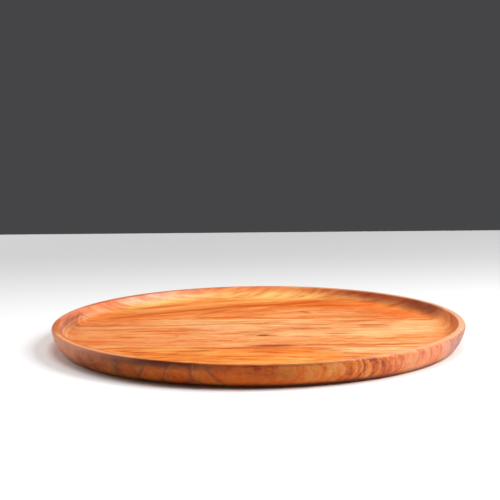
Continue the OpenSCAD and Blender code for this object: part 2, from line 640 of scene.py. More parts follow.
class WoodEffects:
    """Shader node groups that the wood finishes share. Positions go in as millimetres."""

    SLOW_CELL: Triple = (150.0, 34.0, 34.0)
    SLOW_SWING = 4.0
    QUICK_CELL: Triple = (52.0, 9.0, 9.0)
    QUICK_SHIFT: Triple = (7.0, 3.0, 1.0)
    COUNT_CELL = 0.7
    COUNT_SWING = 1.3
    LATE_WOOD: Stops = ((0.0, 0.55), (0.05, 1.0), (0.16, 0.8), (0.5, 0.25), (0.9, 0.05), (1.0, 0.45))
    PALE_WOOD: Stops = ((0.0, 0.25), (0.05, 0.0), (0.86, 0.0), (0.93, 0.9), (0.98, 1.0), (1.0, 0.25))
    FAINTEST_RING = 0.2
    HEIGHT_SHARE = 0.2
    MARK_FADE: Pair = (1.0, 0.3)

    def __init__(self, floor_h: float) -> None:
        """Makes the groups.

        Args:
            floor_h: height of the floor's upper face, in metres.
        """
        self.floor_mm = floor_h / MM
        self.rings = self._growth_rings()
        self.fibres = self._fibres()
        self.mark = self._grain_mark()
        self.joint = self._joint_shade()

    def _growth_rings(self) -> bpy.types.NodeTree:
        """Growth rings cut by the surface.

        A ring's coordinate is the distance across the grain, turned and tilted by plain shares of
        the other two directions, hollowed by the square of the height above the floor, arched by
        a hyperbola along the grain and pushed about by slow noise. Rings are counted from the
        start, and each is wider than the one before by the widening's share of the first: the
        count solves that sum's quadratic. The count's fraction is the place within a ring, and
        its whole number gives each ring its own strength.

        Returns:
            A group that puts out how late the wood grew, the pale line at a ring's end and the
            position with the ring's coordinate in place of the distance across the grain.
        """
        labels = (
            "Turn", "Tilt", "Hollow", "Arch slope", "Arch centre", "Arch round", "Start", "Spacing",
            "Widening", "Wander",
        )
        takes = {"Position": SocketKind.VECTOR} | {label: SocketKind.VALUE for label in labels}
        gives = {"Late": SocketKind.VALUE, "Pale": SocketKind.VALUE, "Along rings": SocketKind.VECTOR}
        g = GroupGraph("growth_rings", takes, gives)
        position = g.taken("Position")
        x, y, z = g.parts(position)
        rise = z - self.floor_mm
        run = x - g.taken("Arch centre")
        arch = g.math("SQRT", run * run + g.taken("Arch round") * g.taken("Arch round"))
        slow = g.noise(g.stretched(position, self.SLOW_CELL), detail=1.0)
        quick = g.noise(g.stretched(position, self.QUICK_CELL, self.QUICK_SHIFT), detail=2.0)
        across = y + g.taken("Turn") * x + g.taken("Tilt") * rise + g.taken("Hollow") * rise * rise
        across = across + g.taken("Arch slope") * arch
        across = across + ((slow - 0.5) * self.SLOW_SWING + (quick - 0.5)) * g.taken("Wander")
        reach = g.math("MAXIMUM", across - g.taken("Start"), 0.0) / g.taken("Spacing")
        root = g.math("SQRT", g.taken("Widening") * reach * 2.0 + 1.0)
        count = (root - 1.0) / g.taken("Widening")
        count = count + (g.noise_along(count * self.COUNT_CELL) - 0.5) * self.COUNT_SWING
        phase = g.math("FRACT", count)
        strength = g.chance(g.math("FLOOR", count))
        swing = 1.0 - self.FAINTEST_RING
        late = g.ramp(phase, self.LATE_WOOD) * (strength * strength * swing + self.FAINTEST_RING)
        pale = g.ramp(phase, self.PALE_WOOD) * (strength * swing + self.FAINTEST_RING)
        g.give("Late", late)
        g.give("Pale", pale)
        g.give("Along rings", g.vector(x, across, z * self.HEIGHT_SHARE))
        return g.tree

    def _fibres(self) -> bpy.types.NodeTree:
        """Noise for each kind of fibre, in cells drawn out along the grain or along the rings.

        Returns:
            A group that puts out each kind as a value from 0 to 1, under the kind's name.
        """
        takes = {label: SocketKind.VECTOR for label in ("Position", "Along rings", "Shift")}
        g = GroupGraph("wood_fibres", takes, {fibre.name: SocketKind.VALUE for fibre in Fibre})
        straight = g.sum(g.taken("Position"), g.taken("Shift"))
        bent = g.sum(g.taken("Along rings"), g.taken("Shift"))
        for fibre in Fibre:
            kind = fibre.value
            cells = g.stretched(bent if kind.bends else straight, kind.cell, kind.shift)
            value = g.noise(cells, kind.detail, kind.roughness)
            if kind.levels is not None:
                value = g.smooth(value, *kind.levels)
            if kind.line is not None:
                value = g.smooth(g.math("ABSOLUTE", value - 0.5), kind.line, 0.0)
            g.give(fibre.name, value)
        return g.tree

    def _grain_mark(self) -> bpy.types.NodeTree:
        """One streak of other colour in the grain.

        In axes turned to the streak, the mask is a bell curve of the distance across it, less the
        bend times the square of the distance along it, and it fades out towards the streak's ends.

        Returns:
            A group that puts out the streak's mask.
        """
        takes = {"Position": SocketKind.VECTOR, "Centre": SocketKind.VECTOR}
        for label in ("Cosine", "Sine", "Length", "Width", "Bend", "Fray"):
            takes[label] = SocketKind.VALUE
        g = GroupGraph("grain_mark", takes, {"Mask": SocketKind.VALUE})
        x, y, _ = g.parts(g.taken("Position"))
        centre_x, centre_y, _ = g.parts(g.taken("Centre"))
        run = x - centre_x
        off = y - centre_y
        along = run * g.taken("Cosine") + off * g.taken("Sine")
        across = off * g.taken("Cosine") - run * g.taken("Sine")
        across = across - g.taken("Bend") * along * along + g.taken("Fray") * g.taken("Width")
        ends = g.math("ABSOLUTE", along) / (g.taken("Length") * 0.5)
        g.give("Mask", g.bell(across / g.taken("Width")) * g.smooth(ends, *self.MARK_FADE))
        return g.tree

    def _joint_shade(self) -> bpy.types.NodeTree:
        """Darker wood beside a glue joint: a bell curve of the distance from the joint's plane.

        Returns:
            A group that puts out the shade's mask.
        """
        takes = {"Position": SocketKind.VECTOR, "Place": SocketKind.VALUE, "Width": SocketKind.VALUE}
        g = GroupGraph("joint_shade", takes, {"Mask": SocketKind.VALUE})
        _, y, _ = g.parts(g.taken("Position"))
        g.give("Mask", g.bell((y - g.taken("Place")) / g.taken("Width")))
        return g.tree


# Places on the plate

class Axis(Enum):
    """What a fade runs along: places in millimetres, or values from 0 to 1."""

    ALONG = "along the grain"
    ACROSS = "across the grain"
    HEIGHT = "up from the table"
    SPAN = "out from the plate's axis"
    STEEP = "from level faces to upright ones"
    ARCS = "across the arcs that end grain shows"

    def fade(self, start: float, end: float) -> "Fade":
        """A fade from nothing at the start to all of a tint at the end."""
        return Fade(self, start, end)


@dataclass(frozen=True)
class Fade:
    """A smooth step from 0 at the start to 1 at the end."""

    axis: Axis
    start: float
    end: float


class Surface:
    """Where on the plate a point lies, as wires of one material's graph.

    The outside begins on the lip, towards its outer edge, and below the floor's upper face.
    """

    OUTER_LIP = Axis.SPAN.fade(135.2, 136.8)
    BELOW_FLOOR = Axis.HEIGHT.fade(8.2, 7.2)

    def __init__(self, g: Graph) -> None:
        """Reads place and slope from Object coordinates and the surface's normal.

        Args:
            g: the material's graph.
        """
        self.g = g
        self.position = g.stretched(g.output("ShaderNodeTexCoord", "Object"), (MM, MM, MM))
        x, y, z = g.parts(self.position)
        _, _, normal_z = g.parts(g.output("ShaderNodeNewGeometry", "Normal"))
        self.front = g.vector(x, z, 0.0)
        self.places = {
            Axis.ALONG: x,
            Axis.ACROSS: y,
            Axis.HEIGHT: z,
            Axis.SPAN: g.math("SQRT", x * x + y * y),
            Axis.STEEP: 1.0 - g.math("ABSOLUTE", normal_z),
        }
        self.made: dict[Fade, Wire] = {}
        self.outside = g.math("MAXIMUM", self.fade(self.OUTER_LIP), self.fade(self.BELOW_FLOOR))
        self.inside = 1.0 - self.outside

    def fade(self, fade: Fade) -> Wire:
        """Value of a fade, from one node however often it is asked for.

        Args:
            fade: the fade.

        Returns:
            Its value, 0 to 1.
        """
        if fade not in self.made:
            self.made[fade] = self.g.smooth(self.places[fade.axis], fade.start, fade.end)
        return self.made[fade]


# Tints of the faces

class Blend(Enum):
    """How a tint is laid over the wood."""

    PLAIN = "in place of the wood's colour"
    GRAINED = "in place of the wood's colour, with the grain's shade on it"
    SHADED = "as a shade on the wood's colour"


class Join(Enum):
    """How the patches of one tint come together."""

    SUM = "ADD"
    MOST = "MAXIMUM"


class Patch:
    """Where a tint lies on a face: its strength times each of its fades."""

    def __init__(self, strength: float, *fades: Fade) -> None:
        """Keeps strength and fades."""
        self.strength = strength
        self.fades = fades

    def share(self, at: Surface) -> Feed:
        """Share of the tint at each point."""
        return math.prod((at.fade(fade) for fade in self.fades), start=self.strength)


class FaceTint:
    """A tint on one face of the plate, in one patch or more."""

    def __init__(
        self, tint: Colour, *patches: Patch, blend: Blend = Blend.GRAINED, join: Join = Join.SUM
    ) -> None:
        """Keeps the tint and how it is laid.

        Args:
            tint: the colour.
            patches: where it lies. A patch of negative strength takes away from a sum.
            blend: how it is laid over the wood.
            join: how the patches come together.
        """
        self.tint = tint
        self.patches = patches
        self.blend = blend
        self.join = join

    def laid(self, at: Surface, mask: Wire, grain: Wire, colour: Wire) -> Wire:
        """Lays the tint over the wood.

        Args:
            at: where on the plate a point lies.
            mask: how far the point belongs to the tint's face.
            grain: the grain's shade.
            colour: the wood's colour so far.

        Returns:
            The colour with the tint.
        """
        share, *others = [patch.share(at) for patch in self.patches]
        for other in others:
            share = at.g.math(self.join.value, share, other)
        share = mask * share
        if self.blend is Blend.SHADED:
            return at.g.mix(share, colour, self.tint, "MULTIPLY")
        tint = at.g.times(self.tint, grain) if self.blend is Blend.GRAINED else self.tint
        return at.g.mix(share, colour, tint)


class Side(Enum):
    """Sides of the plate's skin."""

    OUTSIDE = "outer wall and underside"
    INSIDE = "floor, cove and the inner part of the lip"
    BOTH = "the whole skin"


@dataclass(frozen=True)
class Zone:
    """A face of the plate and its tints, from the first that is laid to the last."""

    side: Side
    fades: tuple[Fade, ...]
    tints: tuple[FaceTint, ...]

    def mask(self, at: Surface) -> Wire:
        """How far each point belongs to the face: the product of its fades and its side.

        Args:
            at: where on the plate a point lies.

        Returns:
            The mask, 0 to 1.
        """
        parts = [at.fade(fade) for fade in self.fades]
        if self.side is Side.OUTSIDE:
            parts.append(at.outside)
        elif self.side is Side.INSIDE:
            parts.append(at.inside)
        return math.prod(parts[1:], start=parts[0])


DARK_ORANGE: Colour = (0.60, 0.095, 0.008)
RED_BROWN: Colour = (0.50, 0.115, 0.026)
STAIN_RED: Colour = (0.42, 0.065, 0.022)
PURPLE_BROWN: Colour = (0.15, 0.048, 0.036)
PALE_STREAK: Colour = (0.94, 0.60, 0.27)
PALE_PINK: Colour = (0.93, 0.48, 0.22)
PALE_YELLOW: Colour = (0.97, 0.66, 0.32)
YELLOW: Colour = (0.94, 0.46, 0.13)
REDDISH: Colour = (0.82, 0.20, 0.04)
# Painted highlight: the lip paler and pinker towards the right, where the side lamp falls
LIP_RIGHT_SHEEN: Colour = (0.80, 0.46, 0.30)
LIP_LEFT: Colour = (0.58, 0.15, 0.05)
LIP_SALMON: Colour = (0.84, 0.34, 0.19)
LIP_BACK: Colour = (0.80, 0.66, 0.70)
# Painted highlight: pale line on the lip's outer edge at the left front and on the top of the far-left wall
LIP_EDGE_HIGHLIGHT: Colour = (1.0, 0.42, 0.22)
WALL_SHADE: Colour = (0.76, 0.50, 0.30)
WALL_DARKER: Colour = (0.74, 0.72, 0.80)
# Painted sheen: pale pink on the wall towards its right end, which faces the side lamp
WALL_PINK_SHEEN: Colour = (0.95, 0.38, 0.23)
WALL_PALE: Colour = (0.88, 0.38, 0.16)
WALL_BROWN: Colour = (0.26, 0.105, 0.022)
WALL_ORANGE: Colour = (0.84, 0.16, 0.012)
# Painted sheen: paler, greyer pink on the upper part of the left wall
WALL_TOP_SHEEN: Colour = (0.69, 0.29, 0.175)
LEFT_WALL: Colour = (0.90, 0.36, 0.18)
RIGHT_WALL: Colour = (0.50, 0.24, 0.20)
COVE_PALE: Colour = (1.0, 0.60, 0.24)
# Painted highlight: pale yellow band at the foot of the back cove
COVE_FOOT_HIGHLIGHT: Colour = (1.0, 0.66, 0.22)
COVE_TOP: Colour = (1.0, 0.40, 0.14)
# Painted reflection: pale pink on the left part of the cove, where it mirrors the side lamp
COVE_PINK_SHEEN: Colour = (0.93, 0.65, 0.49)
COVE_ORANGE: Colour = (0.97, 0.34, 0.15)
# Painted shade: dark brown of the shaded band on the back-right cove
COVE_SHADOW_BROWN: Colour = (0.12, 0.025, 0.022)
LEFT_COVE: Colour = (0.68, 0.27, 0.165)
RIGHT_COVE: Colour = (0.80, 0.245, 0.092)
RIGHT_END: Colour = (0.74, 0.33, 0.16)
# Painted light: bright orange at the foot of the right cove, standing in for light bounced off the floor into
# the shaded cove
RIGHT_COVE_BOUNCE_LIGHT: Colour = (0.94, 0.32, 0.085)
# Painted shade: dark band on the outer wall just under the lip, where the wall faces away from the light
EDGE_SHADE_UNDER_LIP: Colour = (0.105, 0.026, 0.018)
# Painted shade: near-black contact shade on the foot's round, where the plate meets the table
FOOT_CONTACT_SHADE: Colour = (0.05, 0.012, 0.007)
RED_WASH: Colour = (1.0, 0.76, 0.58)
GRAIN_PALE: Colour = (1.0, 1.0, 1.0)
GRAIN_MIDDLE: Colour = (0.94, 0.80, 0.70)
GRAIN_DARK: Colour = (0.76, 0.46, 0.33)

WALL_TOP = Axis.HEIGHT.fade(12.8, 14.8)
COVE_SLOPE = Axis.STEEP.fade(0.0, 0.45)
COVE_STEEP = Axis.STEEP.fade(0.1, 0.5)
COVE_BACK = (Axis.ACROSS.fade(60.0, 95.0), Axis.ALONG.fade(75.0, 40.0))
COVE_LEFT_END = (Axis.ALONG.fade(-108.0, -126.0), Axis.ACROSS.fade(66.0, 34.0))
LIP_LEFT_BACK = (Axis.ALONG.fade(-50.0, -115.0), Axis.ACROSS.fade(-50.0, -28.0))
LIP_LEFT_FRONT = (Axis.ALONG.fade(-58.0, -96.0), Axis.ACROSS.fade(-26.0, -50.0))

WALL_ZONE = Zone(Side.OUTSIDE, (Axis.STEEP.fade(0.1, 0.6),), (
    FaceTint(WALL_SHADE, Patch(1.0), Patch(-0.8, Axis.ALONG.fade(0.0, 60.0)), blend=Blend.SHADED),
    FaceTint(WALL_DARKER, Patch(1.0, Axis.ALONG.fade(-10.0, -80.0)), blend=Blend.SHADED),
    # Painted sheen towards the wall's right end
    FaceTint(WALL_PINK_SHEEN, Patch(0.7, Axis.ALONG.fade(55.0, 105.0))),
    FaceTint(LEFT_WALL, Patch(0.9, Axis.ALONG.fade(-102.0, -122.0))),
    FaceTint(RIGHT_WALL, Patch(0.9, Axis.ALONG.fade(112.0, 130.0))),
))
EDGE_ZONE = Zone(Side.OUTSIDE, (Axis.STEEP.fade(0.05, 0.3),), (
    # Painted shade under the lip: broad on the left part of the wall, a thin line under the lip's edge
    # further right
    FaceTint(
        EDGE_SHADE_UNDER_LIP,
        Patch(0.9, Axis.HEIGHT.fade(9.5, 13.4), Axis.ALONG.fade(5.0, -50.0), Axis.ALONG.fade(-112.0, -66.0)),
        Patch(0.5, Axis.HEIGHT.fade(13.8, 14.8), Axis.ALONG.fade(85.0, 30.0), Axis.ALONG.fade(-105.0, -80.0)),
        blend=Blend.PLAIN, join=Join.MOST,
    ),
    # Painted sheen on the upper part of the left wall
    FaceTint(
        WALL_TOP_SHEEN,
        Patch(0.36, Axis.HEIGHT.fade(7.0, 12.5), Axis.ALONG.fade(-84.0, -104.0)),
        Patch(0.42, WALL_TOP, Axis.ALONG.fade(-62.0, -92.0)),
        blend=Blend.PLAIN,
    ),
    # Painted highlight on the top of the far-left wall
    FaceTint(LIP_EDGE_HIGHLIGHT, Patch(0.5, WALL_TOP, Axis.ALONG.fade(-100.0, -114.0)), blend=Blend.PLAIN),
))
FOOT_ZONE = Zone(Side.BOTH, (Axis.HEIGHT.fade(4.1, 1.3), Axis.STEEP.fade(0.0, 0.2)), (
    # Painted contact shade along the foot, lighter towards the left and right ends
    FaceTint(
        FOOT_CONTACT_SHADE,
        Patch(0.92),
        Patch(-0.65, Axis.ALONG.fade(-50.0, -95.0)),
        Patch(-0.45, Axis.ALONG.fade(50.0, 95.0)),
        blend=Blend.PLAIN,
    ),
))
COVE_ZONE = Zone(Side.INSIDE, (), (
    FaceTint(COVE_PALE, Patch(0.85, COVE_SLOPE)),
    # Painted highlight along the foot of the back cove
    FaceTint(COVE_FOOT_HIGHLIGHT, Patch(0.75, *COVE_BACK, Axis.SPAN.fade(119.0, 127.0))),
    FaceTint(COVE_TOP, Patch(0.85, *COVE_BACK, Axis.STEEP.fade(0.22, 0.5))),
    # Painted reflection of the side lamp on the left part of the cove
    FaceTint(COVE_PINK_SHEEN, Patch(0.85, COVE_SLOPE, Axis.ALONG.fade(-20.0, -85.0))),
    # Painted bounce light at the foot of the right cove
    FaceTint(RIGHT_COVE_BOUNCE_LIGHT, Patch(0.8, Axis.ALONG.fade(94.0, 114.0), Axis.SPAN.fade(114.0, 126.0))),
    FaceTint(RIGHT_COVE, Patch(0.9, COVE_STEEP, Axis.ALONG.fade(45.0, 88.0))),
    FaceTint(RIGHT_END, Patch(0.6, COVE_STEEP, Axis.ALONG.fade(112.0, 128.0))),
    FaceTint(COVE_ORANGE, Patch(0.85, COVE_SLOPE, Axis.ALONG.fade(-94.0, -110.0))),
    FaceTint(LEFT_COVE, Patch(0.75, COVE_SLOPE, *COVE_LEFT_END)),
    FaceTint(
        PURPLE_BROWN,
        Patch(0.35, *COVE_LEFT_END, Axis.SPAN.fade(119.0, 125.0), Axis.ARCS.fade(0.42, 0.66)),
        blend=Blend.PLAIN,
    ),
))
LIP_ZONE = Zone(Side.BOTH, (Axis.HEIGHT.fade(15.2, 15.8),), (
    FaceTint(LIP_LEFT, Patch(0.85, *LIP_LEFT_BACK), blend=Blend.PLAIN),
    FaceTint(
        LIP_SALMON,
        Patch(0.8, *LIP_LEFT_BACK, Axis.ACROSS.fade(2.0, 18.0), Axis.ACROSS.fade(66.0, 46.0)),
        blend=Blend.PLAIN,
    ),
    FaceTint(
        LIP_BACK,
        Patch(0.85, Axis.ACROSS.fade(80.0, 115.0), Axis.ALONG.fade(75.0, 40.0)),
        blend=Blend.SHADED,
    ),
    # Painted shade: the inner half of the lip at the left front, darker beside the floor
    FaceTint(LIP_LEFT, Patch(0.7, *LIP_LEFT_FRONT, Axis.SPAN.fade(138.2, 136.0)), blend=Blend.PLAIN),
    # Painted highlight along the lip's outer edge at the left front
    FaceTint(
        LIP_EDGE_HIGHLIGHT,
        Patch(0.85, *LIP_LEFT_FRONT, Axis.SPAN.fade(136.0, 138.2), Axis.ALONG.fade(-135.0, -127.0)),
        blend=Blend.PLAIN,
    ),
    # Painted highlight on the right part of the lip
    FaceTint(LIP_RIGHT_SHEEN, Patch(0.75, Axis.ALONG.fade(10.0, 120.0)), blend=Blend.PLAIN),
))
ZONES = (WALL_ZONE, EDGE_ZONE, FOOT_ZONE, COVE_ZONE, LIP_ZONE)


# Finishes

class Face(Enum):
    """Which face of the plate a mark shows on."""

    FLOOR = "floor"
    COVE = "cove"
    WALL = "wall"


@dataclass(frozen=True)
class GrainMark:
    """A streak in the wood, in millimetres; the angle is in degrees from the grain.

    On floor and cove, y is the place across the grain, seen from above. On the wall, y is the
    height, seen from the front.
    """

    x: float
    y: float
    length: float
    width: float
    tint: Colour
    strength: float
    angle: float = 0.0
    bend: float = 0.0
    face: Face = Face.FLOOR

    def feeds(self) -> dict[str, Feed]:
        """What the streak's own values feed to the mark's node group.

        Returns:
            The values by socket name.
        """
        turn = math.radians(self.angle)
        return {
            "Centre": (self.x, self.y, 0.0), "Cosine": math.cos(turn), "Sine": math.sin(turn),
            "Length": self.length, "Width": self.width, "Bend": self.bend,
        }


@dataclass(frozen=True)
class CoveMark(GrainMark):
    """A streak on the cove."""

    face: Face = Face.COVE


@dataclass(frozen=True)
class WallMark(GrainMark):
    """A streak on the outer wall."""

    face: Face = Face.WALL


@dataclass(frozen=True)
class RingField:
    """How a board's growth rings lie, in millimetres and plain slopes, and how deep they show."""

    turn: float = 0.0
    tilt: float = 0.0
    hollow: float = 0.0
    arch_slope: float = 0.0
    arch_centre: float = 0.0
    arch_round: float = 10.0
    start: float = -160.0
    spacing: float = 6.0
    widening: float = 0.01
    wander: float = 1.5
    on_floor: float = 0.25
    on_walls: float = 0.25

    def feeds(self) -> dict[str, float]:
        """What the field's values feed to the rings' node group.

        Returns:
            The values by socket name.
        """
        return {
            "Turn": self.turn, "Tilt": self.tilt, "Hollow": self.hollow, "Arch slope": self.arch_slope,
            "Arch centre": self.arch_centre, "Arch round": self.arch_round, "Start": self.start,
            "Spacing": self.spacing, "Widening": self.widening, "Wander": self.wander,
        }


@dataclass(frozen=True)
class WoodTones:
    """A board's colours from pale to dark, and the pink that clouds it."""

    pale: Colour
    light: Colour
    middle: Colour
    dark: Colour
    deepest: Colour
    cloud: Colour

    def stops(self) -> Stops:
        """The colours at their places on the scale of tones.

        Returns:
            The stops of a ramp, from pale to dark.
        """
        return (
            (0.05, self.pale), (0.32, self.light), (0.55, self.middle), (0.78, self.dark),
            (1.0, self.deepest),
        )


# How deep rings, lines and streaks show in the tone, and how they fray the marks
MIDDLE_TONE = 0.41
MEAN_LATE = 0.25
PALE_DEPTH = 0.5
LINE_DEPTH = 0.14
STREAK_DEPTHS = {
    Fibre.BROAD: 0.36, Fibre.NARROW: 0.32, Fibre.THREADS: 0.4, Fibre.FLECKS: 0.36, Fibre.FINE: 0.4,
}
WALL_DEPTHS = {Fibre.MOTTLE: 0.9, Fibre.DASHES: 0.7, Fibre.ENDS: 0.9}
MARK_FRAYS = {
    Face.FLOOR: {Fibre.NARROW: 0.9},
    Face.COVE: {Fibre.MOTTLE: 1.5},
    Face.WALL: {Fibre.MOTTLE: 2.0, Fibre.FLECKS: 2.5},
}
GRAIN_SHADE: Stops = ((0.05, GRAIN_PALE), (MIDDLE_TONE, GRAIN_MIDDLE), (0.8, GRAIN_DARK))
FLOOR_MARKS = Axis.STEEP.fade(0.3, 0.02)
WALL_MARKS = Axis.STEEP.fade(0.1, 0.4)
MARK_FLECKS: Pair = (0.35, 0.6)
MARK_FLECK_DEPTH = 0.6
WASH_WIDTH = 6.0
JOINT_SHADE_WIDTH = 1.1


def swing(fibres: FibreWires, depths: Mapping[Fibre, float]) -> Wire:
    """Sum of fibres about their middle value, each times its depth.

    Args:
        fibres: the fibre group's outputs.
        depths: how much each kind of fibre counts.

    Returns:
        The sum, which is 0 on average.
    """
    first, *others = [(fibres[fibre] - 0.5) * depth for fibre, depth in depths.items()]
    return sum(others, start=first)


@dataclass(frozen=True)
class WoodFinish:
    """Oiled hardwood of one board: rings, fibres, pores and the board's own streaks.

    A joint is its place across the grain, in millimetres, and the strength of the shade beside it.
    """

    name: str
    field: RingField
    tones: WoodTones
    shift: Triple
    joints: tuple[Pair, ...]
    marks: tuple[GrainMark, ...]
    warmth: float = 0.5
    cloud_cell: Triple = (90.0, 24.0, 24.0)
    cloud_levels: Pair = (0.42, 0.72)
    cloudiness: float = 0.5
    arc_spacing: float = 0.6
    arc_wander: float = 0.8
    pore_darkness: float = 0.35
    roughness: float = 0.34
    fine_roughness: float = 0.16
    pore_roughness: float = 0.2
    fine_relief: float = 0.5
    pore_relief: float = 0.8
    ring_relief: float = 0.3
    bump: float = 0.25
    bump_depth: float = 0.1 * MM
    refraction: float = 1.45
    gloss: float = 0.2

    def material(self, effects: WoodEffects) -> bpy.types.Material:
        """Builds the board's material on Object coordinates.

        Args:
            effects: the shared wood node groups.

        Returns:
            The material.
        """
        made, g = blank_material(self.name)
        at = Surface(g)
        rings = g.place(effects.rings, {"Position": at.position, **self.field.feeds()})
        outputs = g.place(effects.fibres, {
            "Position": at.position, "Along rings": rings["Along rings"], "Shift": self.shift,
        })
        fibres = {fibre: outputs[fibre.name] for fibre in Fibre}
        arcs = at.places[Axis.SPAN] * self.arc_spacing + fibres[Fibre.MOTTLE] * self.arc_wander
        at.places[Axis.ARCS] = g.noise_along(arcs)
        tone = self._tone(at, rings, fibres)
        grain = g.ramp(tone, GRAIN_SHADE)
        colour = self._plain(at, fibres, tone)
        # Among the zones' tints are painted shade under the lip and at the foot, and painted sheen and
        # highlights on lip, wall and cove
        for zone in ZONES:
            mask = zone.mask(at)
            for tint in zone.tints:
                colour = tint.laid(at, mask, grain, colour)
        colour = self._marked(at, fibres, effects, grain, colour)
        fine, pores = fibres[Fibre.FINE], fibres[Fibre.PORES]
        colour = g.mix(pores * self.pore_darkness, colour, PURPLE_BROWN)
        rough = fine * self.fine_roughness + pores * self.pore_roughness + self.roughness
        relief = fine * self.fine_relief - pores * self.pore_relief + rings["Late"] * self.ring_relief
        normal = g.wire("ShaderNodeBump", {
            "Strength": self.bump, "Distance": self.bump_depth, "Height": relief,
        })
        shader = g.wire("ShaderNodeBsdfPrincipled", {
            "Base Color": colour, "Roughness": rough, "Normal": normal, "IOR": self.refraction,
            "Specular IOR Level": self.gloss,
        })
        g.node("ShaderNodeOutputMaterial", {"Surface": shader})
        return made

    def _tone(self, at: Surface, rings: Mapping[str, Wire], fibres: FibreWires) -> Wire:
        """Sum of rings, streaks and fibres, with more of them on the outer wall.

        Args:
            at: where on the plate a point lies.
            rings: the ring group's outputs.
            fibres: the fibre group's outputs.

        Returns:
            The tone: 0 where the wood is palest, 1 where it is darkest.
        """
        steep = at.places[Axis.STEEP]
        depth = steep * (self.field.on_walls - self.field.on_floor) + self.field.on_floor
        tone = (rings["Late"] - MEAN_LATE - rings["Pale"] * PALE_DEPTH) * depth + MIDDLE_TONE
        tone = tone + swing(fibres, STREAK_DEPTHS) + fibres[Fibre.LINES] * LINE_DEPTH
        return tone + swing(fibres, WALL_DEPTHS) * steep * at.outside

    def _plain(self, at: Surface, fibres: FibreWires, tone: Wire) -> Wire:
        """Colour of the plain wood: a place on the board's tones, with warmer streaks and clouds.

        Args:
            at: where on the plate a point lies.
            fibres: the fibre group's outputs.
            tone: how dark the wood is.

        Returns:
            The colour.
        """
        g = at.g
        colour = g.ramp(tone, self.tones.stops())
        colour = g.mix(fibres[Fibre.WARM] * self.warmth, colour, RED_WASH, "MULTIPLY")
        cloud = g.noise(g.stretched(at.position, self.cloud_cell, self.shift), detail=1.0)
        share = g.smooth(cloud, *self.cloud_levels) * self.cloudiness
        return g.mix(share, colour, self.tones.cloud, "MULTIPLY")

    def _marked(
        self, at: Surface, fibres: FibreWires, effects: WoodEffects, grain: Wire, colour: Wire
    ) -> Wire:
        """Adds the board's own streaks, each on its face, and the shade beside the joints.

        Args:
            at: where on the plate a point lies.
            fibres: the fibre group's outputs.
            effects: the shared wood node groups.
            grain: the grain's shade, which shows through the broad streaks.
            colour: the wood's colour so far.

        Returns:
            The colour with streaks and shade.
        """
        g = at.g
        flecks = g.smooth(fibres[Fibre.FLECKS], *MARK_FLECKS) * MARK_FLECK_DEPTH + (1.0 - MARK_FLECK_DEPTH)
        shares = {
            Face.FLOOR: at.fade(FLOOR_MARKS) * at.inside,
            Face.COVE: at.inside,
            Face.WALL: at.fade(WALL_MARKS) * at.outside * flecks,
        }
        frays = {face: swing(fibres, depths) for face, depths in MARK_FRAYS.items()}
        # Besides streaks, the marks hold painted shade on the back-right cove and on the left wall
        for mark in self.marks:
            position = at.front if mark.face is Face.WALL else at.position
            feeds = {"Position": position, "Fray": frays[mark.face], **mark.feeds()}
            share = g.place(effects.mark, feeds)["Mask"] * shares[mark.face] * mark.strength
            tint: Feed = mark.tint
            if mark.width >= WASH_WIDTH:
                clear = tuple(min(1.0, part / middle) for part, middle in zip(mark.tint, GRAIN_MIDDLE))
                tint = g.times(clear, grain)
            colour = g.mix(share, colour, tint)
        for place, strength in self.joints:
            feeds = {"Position": at.position, "Place": place, "Width": JOINT_SHADE_WIDTH}
            share = g.place(effects.joint, feeds)["Mask"] * shares[Face.FLOOR] * strength
            colour = g.mix(share, colour, RED_BROWN)
        return colour


@dataclass(frozen=True)
class GlueFinish:
    """Cured wood glue: a dull film with a little speckle."""

    name: str
    film: Colour = (0.72, 0.24, 0.07)
    speck: Colour = (0.60, 0.18, 0.05)
    speck_cell: Triple = (3.0 * MM, 0.4 * MM, 0.6 * MM)
    speck_levels: Pair = (0.4, 0.65)
    roughness: float = 0.45
    speck_roughness: float = 0.2

    def material(self) -> bpy.types.Material:
        """Builds the glue's material on Object coordinates.

        Returns:
            The material.
        """
        made, g = blank_material(self.name)
        place = g.output("ShaderNodeTexCoord", "Object")
        speckle = g.noise(g.stretched(place, self.speck_cell), detail=2.0)
        colour = g.mix(g.smooth(speckle, *self.speck_levels), self.film, self.speck)
        rough = speckle * self.speck_roughness + self.roughness
        shader = g.wire("ShaderNodeBsdfPrincipled", {"Base Color": colour, "Roughness": rough})
        g.node("ShaderNodeOutputMaterial", {"Surface": shader})
        return made


